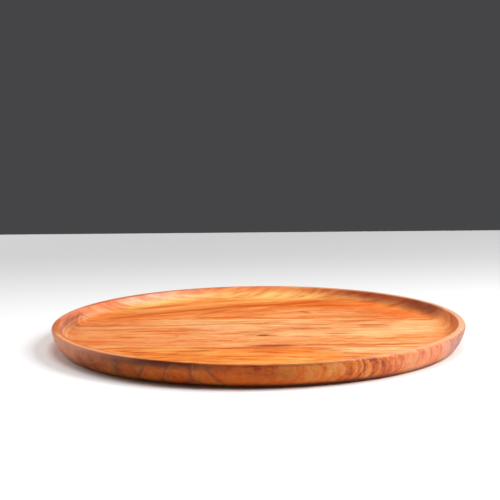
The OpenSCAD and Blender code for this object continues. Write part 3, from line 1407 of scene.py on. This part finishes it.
@dataclass(frozen=True)
class KnotFinish:
    """Dead branch wood: fine oval rings about the knot's heart, with a rough dark edge of bark."""

    name: str
    centre: Pair
    half_size: Pair
    ring: Colour = (0.40, 0.13, 0.05)
    bark: Colour = (0.13, 0.045, 0.022)
    rough_cell: Triple = (1.6 * MM, 0.5 * MM, 0.5 * MM)
    ring_wander: float = 0.5
    ring_turns: float = 22.0
    ring_share: float = 0.6
    rough_share: float = 0.3
    bark_reach: Pair = (0.7, 1.0)
    roughness: float = 0.45
    more_roughness: float = 0.25
    ring_relief: float = 0.4
    bump: float = 0.5
    bump_depth: float = 0.2 * MM

    def material(self) -> bpy.types.Material:
        """Builds the knot's material: rings are a sine of the oval distance from the heart.

        Returns:
            The material.
        """
        made, g = blank_material(self.name)
        place = g.output("ShaderNodeTexCoord", "Object")
        x, y, _ = g.parts(place)
        run = (x - self.centre[0]) / self.half_size[0]
        off = (y - self.centre[1]) / self.half_size[1]
        rough = g.noise(g.stretched(place, self.rough_cell), detail=3.0, roughness=0.6)
        span = g.math("SQRT", run * run + off * off) + (rough - 0.5) * self.ring_wander
        rings = g.math("SINE", span * self.ring_turns) * 0.5 + 0.5
        colour = g.mix(rings * self.ring_share + rough * self.rough_share, self.bark, self.ring)
        colour = g.mix(g.smooth(span, *self.bark_reach), colour, self.bark)
        normal = g.wire("ShaderNodeBump", {
            "Strength": self.bump, "Distance": self.bump_depth, "Height": rings * self.ring_relief + rough,
        })
        shader = g.wire("ShaderNodeBsdfPrincipled", {
            "Base Color": colour, "Roughness": rough * self.more_roughness + self.roughness,
            "Normal": normal,
        })
        g.node("ShaderNodeOutputMaterial", {"Surface": shader})
        return made


# Pieces

@dataclass
class Piece(ABC):
    """A piece of the plate that stands for one solid of the frame."""

    name: str
    node: str
    slot: str
    section: Section
    turned: HandTurned

    @abstractmethod
    def shell(self) -> Shell:
        """The piece's closed skin."""

    def make(self, material: bpy.types.Material) -> bpy.types.Object:
        """Builds the piece, dresses it and ties it to the frame.

        Args:
            material: the piece's finish.

        Returns:
            The new object, at the origin.
        """
        made = bpy.data.objects.new(self.name, self.shell().mesh(self.name))
        bpy.context.scene.collection.objects.link(made)
        made.data.materials.append(material)
        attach(made, BODY)
        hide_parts(self.node)
        log.info("%s: %d faces, stands for %s", self.name, len(made.data.polygons), self.node)
        return made


@dataclass
class EdgeBoard(Piece):
    """A board at the front or back: a circle's segment, with its share of floor, lip and wall."""

    seam: float
    floor_rows: int = 70
    columns: int = 241

    def shell(self) -> Shell:
        """A fan of rows, each at one distance from the plate's axis, and a flat cap at the joint.

        In a row at distance r, the angle runs evenly between plus and minus the arc cosine of the
        joint's distance over r, so that each row ends on the joint. The rows begin at a point on
        the joint, where r is the joint's distance, and r grows with the square of the row number.

        Returns:
            The board's closed skin.
        """
        side = math.copysign(1.0, self.seam)
        near = abs(self.seam)
        upper, lower = self.section.upper_rim(), self.section.lower_rim()
        outward = np.linspace(0.0, 1.0, self.floor_rows)[:-1] ** 2
        floor = np.column_stack((
            near + (upper[0, 0] - near) * outward, np.full_like(outward, self.section.floor_h)
        ))
        under = np.column_stack((
            near + (lower[-1, 0] - near) * outward[::-1], np.full_like(outward, self.section.recess_depth)
        ))
        rows = np.vstack((floor, upper, lower[1:], under))
        reach = np.arccos(np.clip(near / rows[:, 0], -1.0, 1.0))
        angle = reach[:, None] * np.linspace(-1.0, 1.0, self.columns)[None, :]
        distance = rows[:, 0][:, None]
        grid = np.stack((
            distance * np.sin(angle),
            side * distance * np.cos(angle),
            np.broadcast_to(rows[:, 1][:, None], angle.shape),
        ), axis=-1)
        grid = self.turned.shaped(grid)
        made = Shell()
        made.add(grid)
        half = len(floor) + len(upper)
        for edge in (grid[:, 0], grid[:, -1]):
            made.add(np.stack((edge[:half], edge[::-1][:half]), axis=1))
        return made


@dataclass
class Loops:
    """Closed loops round the section at steady distances from the plate's diameter along the grain."""

    section: Section
    spread: np.ndarray

    @staticmethod
    def rim(half: np.ndarray, sign: float, y: np.ndarray) -> np.ndarray:
        """Points of one end of the loops: x is the root of the distance squared less y squared.

        Args:
            half: the section's points on the rim.
            sign: which end, 1 for the right and -1 for the left.
            y: places across the grain, as a column.

        Returns:
            Points by place and by position along the rim.
        """
        x = sign * np.sqrt(half[:, 0][None, :] ** 2 - y ** 2)
        return np.stack((x, np.broadcast_to(y, x.shape), np.broadcast_to(half[:, 1], x.shape)), axis=-1)

    @staticmethod
    def flat(radius: float, height: float, shares: np.ndarray, y: np.ndarray) -> np.ndarray:
        """Points of the loops' level part: x is a share of the half chord at y.

        Args:
            radius: distance of the level part's edge from the axis.
            height: height of the level part.
            shares: shares of the half chord, -1 to 1.
            y: places across the grain, as a column.

        Returns:
            Points by place and by share.
        """
        x = shares[None, :] * np.sqrt(radius ** 2 - y ** 2)
        return np.stack((x, np.broadcast_to(y, x.shape), np.full_like(x, height)), axis=-1)

    def grid(self, across: np.ndarray) -> np.ndarray:
        """Points of one loop per place across the grain.

        A loop runs over the top from the left edge to the right one and back below.

        Args:
            across: places across the grain.

        Returns:
            Points by place and by position along the loop; the loop's ends meet.
        """
        upper, lower = self.section.upper_rim(), self.section.lower_rim()
        y = across[:, None]
        inner = self.spread[1:-1]
        return np.concatenate((
            self.rim(upper[::-1], -1.0, y),
            self.flat(upper[0, 0], self.section.floor_h, inner, y),
            self.rim(upper, 1.0, y),
            self.rim(lower[1:], 1.0, y),
            self.flat(lower[-1, 0], self.section.recess_depth, inner[::-1], y),
            self.rim(lower[::-1], -1.0, y),
        ), axis=1)

    @staticmethod
    def cap(loop: np.ndarray) -> np.ndarray:
        """A flat end: the loop's upper half ruled to its lower half, point by point."""
        half = (len(loop) + 1) // 2
        return np.stack((loop[:half], loop[::-1][:half]), axis=1)

    @classmethod
    def closed(cls, grid: np.ndarray) -> Shell:
        """A skin of loops with a flat end at the first loop and at the last.

        Args:
            grid: the loops' points.

        Returns:
            The closed skin.
        """
        made = Shell()
        made.add(grid)
        made.add(cls.cap(grid[0]))
        made.add(cls.cap(grid[-1]))
        return made


@dataclass
class KnotHole:
    """Place and size of the lens-shaped socket that holds the knot."""

    centre: Pair
    half_size: Pair

    def inside(self, x: np.ndarray, y: np.ndarray) -> np.ndarray:
        """How far inside the lens a place lies: 1 at its heart, 0 on its edge, negative outside.

        The edge is where the share across plus the square of the share along makes 1.

        Args:
            x: places along the grain.
            y: places across the grain.

        Returns:
            The share inside, of the places' shape.
        """
        along = (x - self.centre[0]) / self.half_size[0]
        across = np.abs(y - self.centre[1]) / self.half_size[1]
        return 1.0 - across - along ** 2


@dataclass
class CentreBoard(Piece):
    """The board through the plate's centre, with the knot's socket."""

    front_seam: float
    back_seam: float
    hole: KnotHole
    hole_depth: float = 2.5 * MM
    hole_edge: float = 0.12
    floor_share: float = 0.9
    rows: int = 130
    row_crowd: float = 7.0
    row_reach: float = 1.4
    floor_columns: int = 230
    column_crowd: float = 4.0
    column_reach: float = 1.3

    def shell(self) -> Shell:
        """Loops round the section from joint to joint, crowded near the knot, and two flat ends.

        The floor sinks into the socket by its depth times a smooth step of the lens's inside. A
        point belongs to the upper side from a share of the floor's height upwards.

        Returns:
            The board's closed skin.
        """
        (hole_x, hole_y), (hole_l, hole_w) = self.hole.centre, self.hole.half_size
        half_chord = math.sqrt(self.section.upper_rim()[0, 0] ** 2 - hole_y ** 2)
        spread = crowded(
            -1.0, 1.0, self.floor_columns, hole_x / half_chord, self.column_reach * hole_l / half_chord,
            self.column_crowd,
        )
        across = crowded(
            self.front_seam, self.back_seam, self.rows, hole_y, self.row_reach * hole_w, self.row_crowd
        )
        grid = Loops(self.section, spread).grid(across)
        sink = np.clip(self.hole.inside(grid[..., 0], grid[..., 1]) / self.hole_edge, 0.0, 1.0)
        top = grid[..., 2] > self.floor_share * self.section.floor_h
        grid[..., 2] -= np.where(top, self.hole_depth * eased(sink), 0.0)
        return Loops.closed(self.turned.shaped(grid))


@dataclass
class GlueLine(Piece):
    """The film of cured glue in one edge joint."""

    low: float
    high: float
    rows: int = 3
    floor_columns: int = 161

    def shell(self) -> Shell:
        """Loops round the section, over a film's thickness, and their flat faces.

        Returns:
            The film's closed skin.
        """
        loops = Loops(self.section, np.linspace(-1.0, 1.0, self.floor_columns))
        grid = loops.grid(np.linspace(self.low, self.high, self.rows))
        return Loops.closed(self.turned.shaped(grid))


@dataclass
class PinKnot(Piece):
    """The dead knot: a lens-shaped plug with a worn, checked top."""

    hole: KnotHole
    bottom: float
    shrink: float = 0.95
    wear: float = 0.18 * MM
    ring_turns: float = 9.0
    ring_share: float = 0.25
    check_slant: float = 0.25
    check_width: float = 0.12
    check_share: float = 1.4
    edge_share: float = 0.6
    steps_along: int = 61
    steps_across: int = 25

    def shell(self) -> Shell:
        """A lens swept along the grain: half width times one less the square of the share along.

        The top lies below the floor by the wear, which ripples with the knot's own rings, deepens
        along a slanting check through the heart, a bell curve of the distance from it, and grows
        towards the edge with the fourth power of the share across. The loop at each place runs
        over the top and back along the bottom, and closes to an upright line at both tips.

        Returns:
            The plug's closed skin.
        """
        (centre_x, centre_y), (half_l, half_w) = self.hole.centre, self.hole.half_size
        along = np.linspace(-1.0, 1.0, self.steps_along)[:, None]
        share = np.linspace(-1.0, 1.0, self.steps_across)[None, :]
        lens = 1.0 - along ** 2
        x = centre_x + self.shrink * half_l * along + np.zeros_like(share)
        y = centre_y + self.shrink * half_w * lens * share
        ripple = self.ring_share * np.sin(self.ring_turns * np.hypot(along, share))
        off_check = (share - self.check_slant * along) / self.check_width
        check = self.check_share * np.exp(-(off_check ** 2)) * lens
        edge = self.edge_share * share ** 4
        top = self.section.floor_h - self.wear * (1.0 + ripple + check + edge)
        over = np.stack((x, y, top), axis=-1)
        below = np.stack((x, y, np.full_like(top, self.bottom)), axis=-1)
        loop = np.concatenate((over, below[:, ::-1], over[:, :1]), axis=1)
        made = Shell()
        made.add(self.turned.shaped(loop))
        return made


# Studio

@dataclass(frozen=True)
class Lamp:
    """A square soft lamp that shines at the plate's centre."""

    name: str
    direction: Triple
    distance: float
    width: float
    watts: float
    mirrored: bool = True

    def make(self) -> bpy.types.Object:
        """Adds the lamp, turned to the plate.

        Returns:
            The lamp's object.
        """
        data = bpy.data.lights.new(self.name, "AREA")
        data.shape = "SQUARE"
        data.size = self.width
        data.energy = self.watts
        made = bpy.data.objects.new(self.name, data)
        made.visible_glossy = self.mirrored
        away = Vector(self.direction).normalized()
        turn = away.to_track_quat("Z", "Y").to_matrix().to_4x4()
        made.matrix_world = Matrix.Translation(away * self.distance) @ turn
        bpy.context.scene.collection.objects.link(made)
        return made


@dataclass(frozen=True)
class Viewpoint:
    """The camera: where it stands, how it is turned, in degrees, and its lens in millimetres."""

    place: Triple = (0.0057, -1.0055, 0.2082)
    pitch: float = 8.15
    yaw: float = -0.62
    roll: float = -0.59
    lens: float = 108.0
    sensor: float = 36.0

    def make(self) -> bpy.types.Object:
        """Adds the camera: level axes turned by yaw and pitch, then rolled about the view.

        Returns:
            The camera's object.
        """
        pitch, yaw, roll = (math.radians(angle) for angle in (self.pitch, self.yaw, self.roll))
        ahead = Vector((
            math.sin(yaw) * math.cos(pitch), math.cos(yaw) * math.cos(pitch), -math.sin(pitch)
        ))
        level = Vector((math.cos(yaw), -math.sin(yaw), 0.0))
        up = level.cross(ahead)
        right = math.cos(roll) * level + math.sin(roll) * up
        top = math.cos(roll) * up - math.sin(roll) * level
        data = bpy.data.cameras.new("camera")
        data.lens = self.lens
        data.sensor_width = self.sensor
        made = bpy.data.objects.new("camera", data)
        turn = Matrix((right, top, -ahead)).transposed().to_4x4()
        made.matrix_world = Matrix.Translation(self.place) @ turn
        bpy.context.scene.collection.objects.link(made)
        bpy.context.scene.camera = made
        return made


@dataclass(frozen=True)
class Studio:
    """A plain pale floor, a plain dim backdrop and soft light."""

    floor_drop: float = 0.05 * MM
    floor_opening: float = 129.0 * MM
    floor_far: float = 0.58
    floor_grade: Pair = (-0.05, 0.45)
    floor_near: float = -2.0
    floor_half_width: float = 2.0
    floor_tone: Colour = (0.95, 0.95, 0.95)
    floor_back_tone: Colour = (0.56, 0.56, 0.56)
    floor_bounce: Colour = (0.80, 0.80, 0.80)
    backdrop: Colour = (0.06, 0.06, 0.065)
    ambient: Colour = (0.10, 0.10, 0.10)
    lamps: tuple[Lamp, ...] = (
        Lamp("side_window", (0.725, -0.130, 0.675), distance=1.4, width=0.75, watts=19.4),
        Lamp("overhead_box", (0.050, -0.100, 0.990), distance=1.7, width=0.9, watts=12.4),
        Lamp("left_fill", (-0.680, 0.680, 0.260), distance=1.5, width=0.8, watts=14.0, mirrored=False),
        Lamp("underside_box", (0.0, 0.0, -1.0), distance=1.2, width=0.8, watts=8.0),
    )

    def make(self) -> None:
        """Adds floor, world, lamps and camera, and sets the plain view transform."""
        self._floor()
        self._world()
        for lamp in self.lamps:
            lamp.make()
        Viewpoint().make()
        bpy.context.scene.view_settings.view_transform = "Standard"

    @staticmethod
    def _ray_is(g: Graph, *kinds: str) -> Wire:
        """Tells rays of some kinds from others.

        Args:
            g: the graph of a material or the world.
            kinds: names of the kinds of ray.

        Returns:
            1 for a ray of any of the kinds, else 0.
        """
        path = g.node("ShaderNodeLightPath")
        either, *others = [Wire(g, path.outputs[kind]) for kind in kinds]
        for other in others:
            either = g.math("MAXIMUM", either, other)
        return either

    def _floor_material(self) -> bpy.types.Material:
        """A dull sheet that shows pale, darker to the back, and returns less light to the plate.

        It can't be seen from below and is open under the plate's foot, where the lamp below shines
        through for views of the underside.

        Returns:
            The material.
        """
        made, g = blank_material("pale_floor")
        side, depth, _ = g.parts(g.output("ShaderNodeTexCoord", "Object"))
        shown = g.mix(g.smooth(depth, *self.floor_grade), self.floor_tone, self.floor_back_tone)
        colour = g.mix(self._ray_is(g, "Is Camera Ray", "Is Glossy Ray"), self.floor_bounce, shown)
        sheet = g.wire("ShaderNodeBsdfDiffuse", {"Color": colour})
        clear = g.wire("ShaderNodeBsdfTransparent")
        span = g.math("SQRT", side * side + depth * depth)
        opening = g.math("LESS_THAN", span, self.floor_opening)
        unseen = g.math("MAXIMUM", g.output("ShaderNodeNewGeometry", "Backfacing"), opening)
        both = g.wire("ShaderNodeMixShader", {0: unseen, 1: sheet, 2: clear})
        g.node("ShaderNodeOutputMaterial", {"Surface": both})
        return made

    def _floor(self) -> None:
        """Adds the floor, a flat sheet just below the plate."""
        x, near, far, z = self.floor_half_width, self.floor_near, self.floor_far, -self.floor_drop
        data = bpy.data.meshes.new("floor")
        data.from_pydata([(-x, near, z), (x, near, z), (x, far, z), (-x, far, z)], [], [(0, 1, 2, 3)])
        data.materials.append(self._floor_material())
        floor = bpy.data.objects.new("floor", data)
        bpy.context.scene.collection.objects.link(floor)

    def _world(self) -> None:
        """A dim backdrop for what is seen or mirrored, and a soft even light for the rest."""
        world = bpy.data.worlds.new("studio")
        world.use_nodes = True
        world.node_tree.nodes.clear()
        bpy.context.scene.world = world
        g = Graph(world.node_tree)
        shown = self._ray_is(g, "Is Camera Ray", "Is Glossy Ray", "Is Transmission Ray")
        sky = g.wire("ShaderNodeBackground", {"Color": g.mix(shown, self.ambient, self.backdrop)})
        g.node("ShaderNodeOutputWorld", {"Surface": sky})


# The boards' own wood

FRONT_TONES = WoodTones(
    pale=(0.94, 0.45, 0.12), light=(0.92, 0.33, 0.066), middle=(0.87, 0.23, 0.034),
    dark=(0.62, 0.12, 0.018), deepest=(0.20, 0.045, 0.03), cloud=(1.0, 0.86, 0.80),
)
MIDDLE_TONES = WoodTones(
    pale=(0.94, 0.58, 0.26), light=(0.92, 0.45, 0.175), middle=(0.88, 0.32, 0.095),
    dark=(0.76, 0.19, 0.036), deepest=(0.40, 0.085, 0.025), cloud=(1.0, 0.88, 0.86),
)
BACK_TONES = WoodTones(
    pale=(0.92, 0.40, 0.10), light=(0.88, 0.275, 0.05), middle=(0.81, 0.185, 0.026),
    dark=(0.64, 0.125, 0.015), deepest=(0.32, 0.062, 0.02), cloud=(1.0, 0.88, 1.0),
)
FRONT_RINGS = RingField(
    tilt=0.36, hollow=0.03, start=-134.0, spacing=2.0, widening=1.0, on_floor=0.2, on_walls=0.3,
)
MIDDLE_RINGS = RingField(turn=-0.03, tilt=-4.0, spacing=10.0, wander=2.5, on_floor=0.12, on_walls=0.1)
BACK_RINGS = RingField(
    tilt=0.4, arch_slope=0.373, arch_centre=52.0, arch_round=16.0, spacing=11.0, wander=2.2,
    on_floor=0.12, on_walls=0.08,
)

# A mark's row gives x, y, length, width, tint and strength, then angle and bend where it has them
# Painted shade: the dark band on the upper back-right cove, which faces away from the side lamp and lies in
# the lip's shadow
PAINTED_COVE_SHADOWS = (
    CoveMark(102.3, 86.1, 140.0, 4.5, COVE_SHADOW_BROWN, 0.38, -50.0, -0.0038),
    CoveMark(119.0, 60.5, 66.0, 3.6, COVE_SHADOW_BROWN, 0.48, -62.0, -0.0038),
)
FRONT_MARKS = (
    GrainMark(-41.0, -66.2, 34.0, 2.3, RED_BROWN, 0.9, 8.0),
    GrainMark(43.0, -61.3, 15.0, 1.7, RED_BROWN, 0.8),
    GrainMark(-14.0, -57.5, 70.0, 1.8, DARK_ORANGE, 0.7, 1.0),
    GrainMark(-60.0, -74.0, 80.0, 3.0, DARK_ORANGE, 0.35),
    GrainMark(-20.0, -82.0, 100.0, 3.0, DARK_ORANGE, 0.35),
    # Partly a pale streak and partly painted light: the front-right floor made paler where the side lamp
    # falls strongest
    GrainMark(83.0, -67.0, 108.0, 8.0, PALE_YELLOW, 0.66),
    GrainMark(-52.0, -98.0, 80.0, 10.0, DARK_ORANGE, 0.3),
    GrainMark(-110.0, -68.0, 60.0, 6.0, PALE_PINK, 0.15),
    WallMark(-79.0, 8.0, 16.0, 4.0, WALL_ORANGE, 0.25, 90.0),
    WallMark(-64.0, 7.0, 16.0, 5.0, WALL_ORANGE, 0.5, 90.0),
    WallMark(-47.5, 8.0, 16.0, 5.5, WALL_ORANGE, 0.6, 90.0),
    WallMark(-33.0, 8.0, 16.0, 4.5, WALL_ORANGE, 0.4, 90.0),
    WallMark(-12.0, 6.5, 30.0, 4.0, WALL_ORANGE, 0.45),
    # Painted shade: carries the shade under the lip further down the left wall
    WallMark(-84.0, 10.5, 36.0, 4.0, PURPLE_BROWN, 0.35),
    WallMark(-110.0, 4.5, 30.0, 3.2, PURPLE_BROWN, 0.45),
    WallMark(-86.8, 7.5, 22.0, 2.0, PURPLE_BROWN, 0.65, 97.0),
    WallMark(-71.5, 6.5, 18.0, 1.1, PURPLE_BROWN, 0.6, 62.0),
    WallMark(-69.2, 7.0, 12.0, 0.4, WALL_PALE, 0.25, 64.0),
    WallMark(-56.0, 7.0, 25.0, 1.2, PURPLE_BROWN, 0.62, 68.0, -0.045),
    WallMark(-54.0, 10.0, 16.0, 0.4, WALL_PALE, 0.4, 60.0, -0.04),
    WallMark(-40.6, 9.5, 20.0, 1.4, PURPLE_BROWN, 0.5, 94.0, -0.03),
    WallMark(-38.8, 11.0, 12.0, 0.4, WALL_PALE, 0.25, 94.0, -0.03),
    WallMark(-38.0, 3.5, 14.0, 2.4, PURPLE_BROWN, 0.7, -10.0),
    WallMark(-26.0, 8.0, 26.0, 1.3, PURPLE_BROWN, 0.62, -46.0, 0.02),
    WallMark(-102.5, 7.9, 10.0, 0.45, WALL_PALE, 0.4, 27.0),
    WallMark(6.0, 10.5, 50.0, 3.0, WALL_BROWN, 0.4, -1.0),
    WallMark(45.5, 12.5, 9.0, 1.6, WALL_PALE, 0.6),
    WallMark(50.0, 10.8, 12.0, 1.1, WALL_PALE, 0.6, 90.0, 0.06),
    WallMark(54.4, 9.5, 20.0, 1.9, STAIN_RED, 0.55, 90.0, 0.06),
    WallMark(59.6, 10.5, 22.0, 0.6, WALL_PALE, 0.75, 90.0, 0.075),
    WallMark(61.4, 10.8, 20.0, 0.7, STAIN_RED, 0.5, 90.0, 0.09),
    WallMark(63.1, 11.0, 20.0, 0.5, WALL_PALE, 0.8, 90.0, 0.09),
    WallMark(64.8, 11.0, 20.0, 0.9, STAIN_RED, 0.6, 90.0, 0.09),
    WallMark(70.0, 9.0, 20.0, 1.5, STAIN_RED, 0.3, 90.0, 0.08),
    WallMark(74.4, 10.2, 20.0, 0.5, WALL_PALE, 0.65, 90.0, 0.09),
    WallMark(76.0, 10.2, 20.0, 0.9, STAIN_RED, 0.35, 90.0, 0.09),
    WallMark(84.0, 9.0, 18.0, 0.6, STAIN_RED, 0.35, 80.0, 0.05),
    WallMark(88.5, 9.0, 18.0, 0.6, STAIN_RED, 0.35, 78.0, 0.05),
)
MIDDLE_MARKS = (
    GrainMark(-95.0, -4.0, 170.0, 34.0, REDDISH, 0.42),
    GrainMark(-104.0, 34.0, 110.0, 10.0, REDDISH, 0.7),
    GrainMark(-110.0, 14.0, 60.0, 4.0, PALE_PINK, 0.5),
    GrainMark(-85.0, -42.0, 150.0, 18.0, REDDISH, 0.7),
    GrainMark(0.0, 4.0, 130.0, 22.0, PALE_PINK, 0.4),
    GrainMark(95.0, -4.0, 150.0, 34.0, PALE_STREAK, 0.2),
    GrainMark(112.0, 29.0, 46.0, 5.0, PALE_STREAK, 0.6),
    GrainMark(-80.0, 20.0, 110.0, 1.9, RED_BROWN, 0.7, 0.0, 0.002),
    GrainMark(-16.0, 25.0, 90.0, 1.7, RED_BROWN, 0.6, 6.0),
    GrainMark(-105.0, 7.0, 44.0, 1.8, RED_BROWN, 0.45),
    GrainMark(85.0, 34.5, 90.0, 2.0, RED_BROWN, 0.4, 6.0),
    GrainMark(-8.0, 39.5, 120.0, 2.0, PALE_STREAK, 0.6, -1.0),
    GrainMark(40.0, 20.9, 22.0, 1.6, RED_BROWN, 0.85),
    GrainMark(26.0, 20.5, 26.0, 1.4, RED_BROWN, 0.4),
    GrainMark(68.0, 34.0, 32.0, 2.0, RED_BROWN, 0.5),
    GrainMark(80.0, 17.7, 30.0, 2.0, RED_BROWN, 0.95, 1.0),
    GrainMark(29.5, 8.3, 22.0, 1.6, RED_BROWN, 0.8),
    GrainMark(54.0, -11.2, 24.0, 1.6, RED_BROWN, 0.8),
    GrainMark(92.0, -6.0, 80.0, 1.9, PALE_STREAK, 0.85, 2.5),
    GrainMark(-88.6, -19.6, 15.0, 1.8, RED_BROWN, 0.9),
    GrainMark(-80.5, -19.9, 10.0, 1.5, RED_BROWN, 0.6),
    GrainMark(-54.7, -15.9, 5.0, 1.1, PURPLE_BROWN, 0.7),
    GrainMark(-4.5, -14.8, 16.0, 1.8, RED_BROWN, 0.75),
    GrainMark(8.0, -17.0, 14.0, 2.6, RED_BROWN, 0.6, -12.0),
    GrainMark(10.0, -50.0, 42.0, 3.6, STAIN_RED, 0.9, 1.0),
    GrainMark(10.5, -49.3, 26.0, 2.2, PURPLE_BROWN, 0.5, 1.0),
    GrainMark(0.0, -54.6, 50.0, 2.0, STAIN_RED, 0.7, 4.0),
    GrainMark(46.0, -50.0, 90.0, 2.0, DARK_ORANGE, 0.7),
    GrainMark(96.0, -46.5, 60.0, 1.8, RED_BROWN, 0.4, 6.0),
    CoveMark(-130.0, 18.0, 38.0, 5.0, PURPLE_BROWN, 0.3, 84.0),
    # Painted shade on the back-right cove
    *PAINTED_COVE_SHADOWS,
)
BACK_MARKS = (
    GrainMark(-60.0, 88.0, 130.0, 7.0, YELLOW, 0.3, 25.0),
    GrainMark(10.0, 114.0, 90.0, 6.0, YELLOW, 0.3, 12.0),
    GrainMark(-58.0, 52.0, 70.0, 6.5, PALE_PINK, 0.22, 12.0),
    GrainMark(34.0, 64.0, 150.0, 13.0, PALE_PINK, 0.42, 2.0),
    GrainMark(-58.0, 78.0, 150.0, 7.0, DARK_ORANGE, 0.45, 26.5),
    GrainMark(-58.0, 72.5, 170.0, 3.2, DARK_ORANGE, 1.0, 26.5),
    GrainMark(2.0, 96.5, 70.0, 4.5, DARK_ORANGE, 0.95, 9.0),
    GrainMark(34.0, 106.0, 70.0, 7.0, DARK_ORANGE, 0.95, 26.0),
    GrainMark(54.0, 104.0, 60.0, 10.0, DARK_ORANGE, 0.5, 50.0),
    GrainMark(-31.0, 72.0, 62.0, 3.0, RED_BROWN, 0.6, 46.0, -0.006),
    GrainMark(-8.0, 62.0, 90.0, 9.0, REDDISH, 0.5, 12.0),
    GrainMark(-16.0, 48.0, 90.0, 1.8, RED_BROWN, 0.65, -4.0),
    GrainMark(34.5, 67.0, 18.0, 2.2, RED_BROWN, 0.75, -60.0),
    GrainMark(66.0, 47.6, 70.0, 1.9, RED_BROWN, 0.65, -2.0),
    GrainMark(79.5, 47.5, 24.0, 1.7, STAIN_RED, 0.5, -2.0),
    GrainMark(69.0, 60.0, 72.0, 1.8, RED_BROWN, 0.45, -12.6),
    GrainMark(92.0, 76.0, 60.0, 8.0, REDDISH, 0.55, -25.0),
    GrainMark(78.0, 52.0, 90.0, 4.0, REDDISH, 0.5, -3.0),
    # Painted shade on the back-right cove
    *PAINTED_COVE_SHADOWS,
)


# The plate

class DinnerPlate:
    """The plate: three boards, two films of glue and a knot.

    The knot's lift is how far its bottom lies above the solid's, in a socket that is less deep.
    """

    FRONT_JOINT_SHADE = 0.5
    BACK_JOINT_SHADE = 0.2
    KNOT_LIFT = 1.6 * MM

    def __init__(self) -> None:
        """Reads the plate's size, its joints and its knot from the frame's solids."""
        self.front_low, self.front_high = (corner.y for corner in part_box("front_glue_line"))
        self.back_low, self.back_high = (corner.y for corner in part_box("back_glue_line"))
        knot_low, knot_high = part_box("pin_knot")
        low, high = CAD_BOX
        self.section = Section(radius=(high.x - low.x) / 2.0, height=high.z - low.z, floor_h=knot_high.z)
        self.turned = HandTurned(self.section)
        middle = (knot_low + knot_high) / 2.0
        size = knot_high - knot_low
        self.hole = KnotHole((middle.x, middle.y), (size.x / 2.0, size.y / 2.0))
        self.knot_bottom = knot_low.z + self.KNOT_LIFT

    def board_finishes(self) -> tuple[WoodFinish, WoodFinish, WoodFinish]:
        """Finishes of the boards, each with the shade beside its own joints.

        Returns:
            The finishes of the front, middle and back boards.
        """
        front_joint = ((self.front_low + self.front_high) / 2.0 / MM, self.FRONT_JOINT_SHADE)
        back_joint = ((self.back_low + self.back_high) / 2.0 / MM, self.BACK_JOINT_SHADE)
        return (
            WoodFinish(
                "front_board_oiled", FRONT_RINGS, FRONT_TONES, shift=(13.0, 4.0, 2.0),
                joints=(front_joint,), marks=FRONT_MARKS,
            ),
            WoodFinish(
                "middle_board_oiled", MIDDLE_RINGS, MIDDLE_TONES, shift=(41.0, 17.0, 8.0),
                joints=(front_joint, back_joint), marks=MIDDLE_MARKS,
            ),
            WoodFinish(
                "back_board_oiled", BACK_RINGS, BACK_TONES, shift=(77.0, 29.0, 14.0),
                joints=(back_joint,), marks=BACK_MARKS,
            ),
        )

    def make(self) -> None:
        """Builds and dresses every piece."""
        effects = WoodEffects(self.section.floor_h)
        front, middle, back = (finish.material(effects) for finish in self.board_finishes())
        glue = GlueFinish("cured_glue").material()
        knot = KnotFinish("dead_knot", self.hole.centre, self.hole.half_size).material()
        common = {"section": self.section, "turned": self.turned}
        EdgeBoard(
            name="front_board_wood", node="front_board", slot="front_board_wood", **common,
            seam=self.front_low,
        ).make(front)
        CentreBoard(
            name="middle_board_wood", node="middle_board", slot="middle_board_wood", **common,
            front_seam=self.front_high, back_seam=self.back_low, hole=self.hole,
        ).make(middle)
        EdgeBoard(
            name="back_board_wood", node="back_board", slot="back_board_wood", **common,
            seam=self.back_high,
        ).make(back)
        GlueLine(
            name="front_glue_film", node="front_glue_line", slot="glue", **common,
            low=self.front_low, high=self.front_high,
        ).make(glue)
        GlueLine(
            name="back_glue_film", node="back_glue_line", slot="glue", **common,
            low=self.back_low, high=self.back_high,
        ).make(glue)
        PinKnot(
            name="knot_plug", node="pin_knot", slot="knot_wood", **common,
            hole=self.hole, bottom=self.knot_bottom,
        ).make(knot)


def main() -> None:
    """Builds the studio and the plate."""
    logging.basicConfig(level=logging.INFO, format="%(name)s %(message)s")
    Studio().make()
    DinnerPlate().make()


if __name__ == "__main__":
    main()
